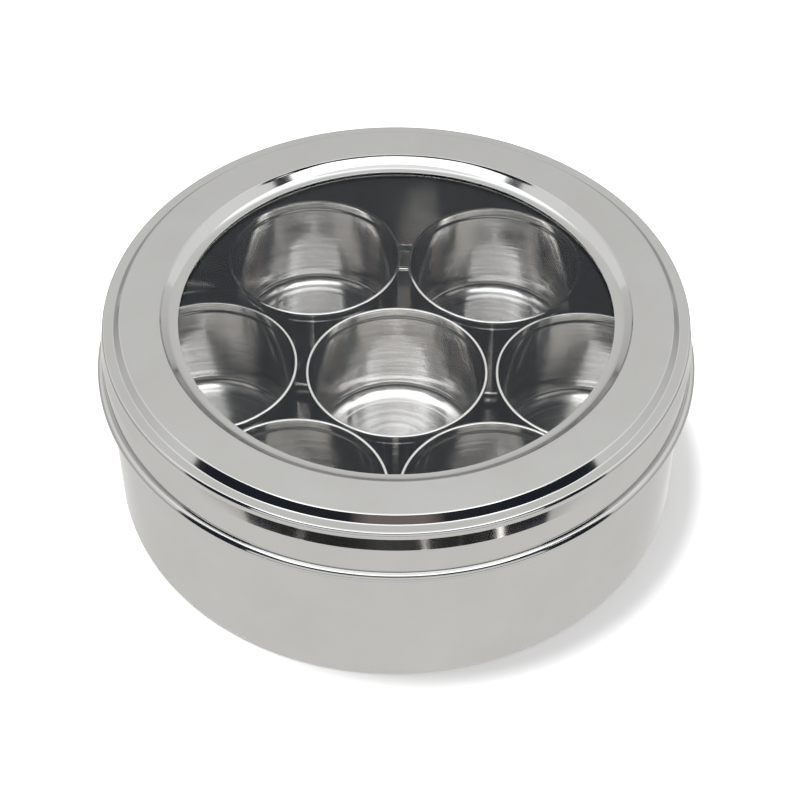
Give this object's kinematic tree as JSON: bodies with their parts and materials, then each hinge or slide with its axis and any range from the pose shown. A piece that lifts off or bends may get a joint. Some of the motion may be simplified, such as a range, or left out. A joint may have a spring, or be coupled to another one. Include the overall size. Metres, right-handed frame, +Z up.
{
  "type": "spice box",
  "caption": "Round stainless-steel spice box with a lift-off lid framing a clear round window, and loose round bowls standing inside for separate spices.",
  "frame": {"origin": "centre of the underside of the box, on the surface it stands on", "axes": "+Z up along the axis of the box and the lid, -Y towards the viewer, +X to the viewer's right"},
  "size_m": [0.2096, 0.2096, 0.076],
  "materials": {
    "polished_steel": "mirror-polished stainless sheet with faint drawing lines",
    "spun_steel": "polished stainless sheet with fine spun lines inside",
    "retainer_steel": "plain satin stainless sheet",
    "clear_window": "clear and glossy"
  },
  "bodies": {
    "box": {"box_body": "polished_steel"},
    "lid": {"lid_shell": "polished_steel", "window_disc": "clear_window", "window_retainer": "retainer_steel"},
    "centre_cup": {"bowl_centre": "spun_steel"},
    "right_cup": {"bowl_right": "spun_steel"},
    "rear_right_cup": {"bowl_rear_right": "spun_steel"},
    "rear_left_cup": {"bowl_rear_left": "spun_steel"},
    "left_cup": {"bowl_left": "spun_steel"},
    "front_left_cup": {"bowl_front_left": "spun_steel"},
    "front_right_cup": {"bowl_front_right": "spun_steel"}
  },
  "joints": [
    {"name": "lid_lift", "type": "slide", "parent": "box", "child": "lid", "axis": [0, 0, 1], "range_m": [0, 0.12]},
    {"name": "bowl_centre_lift", "type": "slide", "parent": "box", "child": "centre_cup", "axis": [0, 0, 1], "range_m": [0, 0.018]},
    {"name": "bowl_right_lift", "type": "slide", "parent": "box", "child": "right_cup", "axis": [0, 0, 1], "range_m": [0, 0.018]},
    {"name": "bowl_rear_right_lift", "type": "slide", "parent": "box", "child": "rear_right_cup", "axis": [0, 0, 1], "range_m": [0, 0.018]},
    {"name": "bowl_rear_left_lift", "type": "slide", "parent": "box", "child": "rear_left_cup", "axis": [0, 0, 1], "range_m": [0, 0.018]},
    {"name": "bowl_left_lift", "type": "slide", "parent": "box", "child": "left_cup", "axis": [0, 0, 1], "range_m": [0, 0.018]},
    {"name": "bowl_front_left_lift", "type": "slide", "parent": "box", "child": "front_left_cup", "axis": [0, 0, 1], "range_m": [0, 0.018]},
    {"name": "bowl_front_right_lift", "type": "slide", "parent": "box", "child": "front_right_cup", "axis": [0, 0, 1], "range_m": [0, 0.018]}
  ]
}
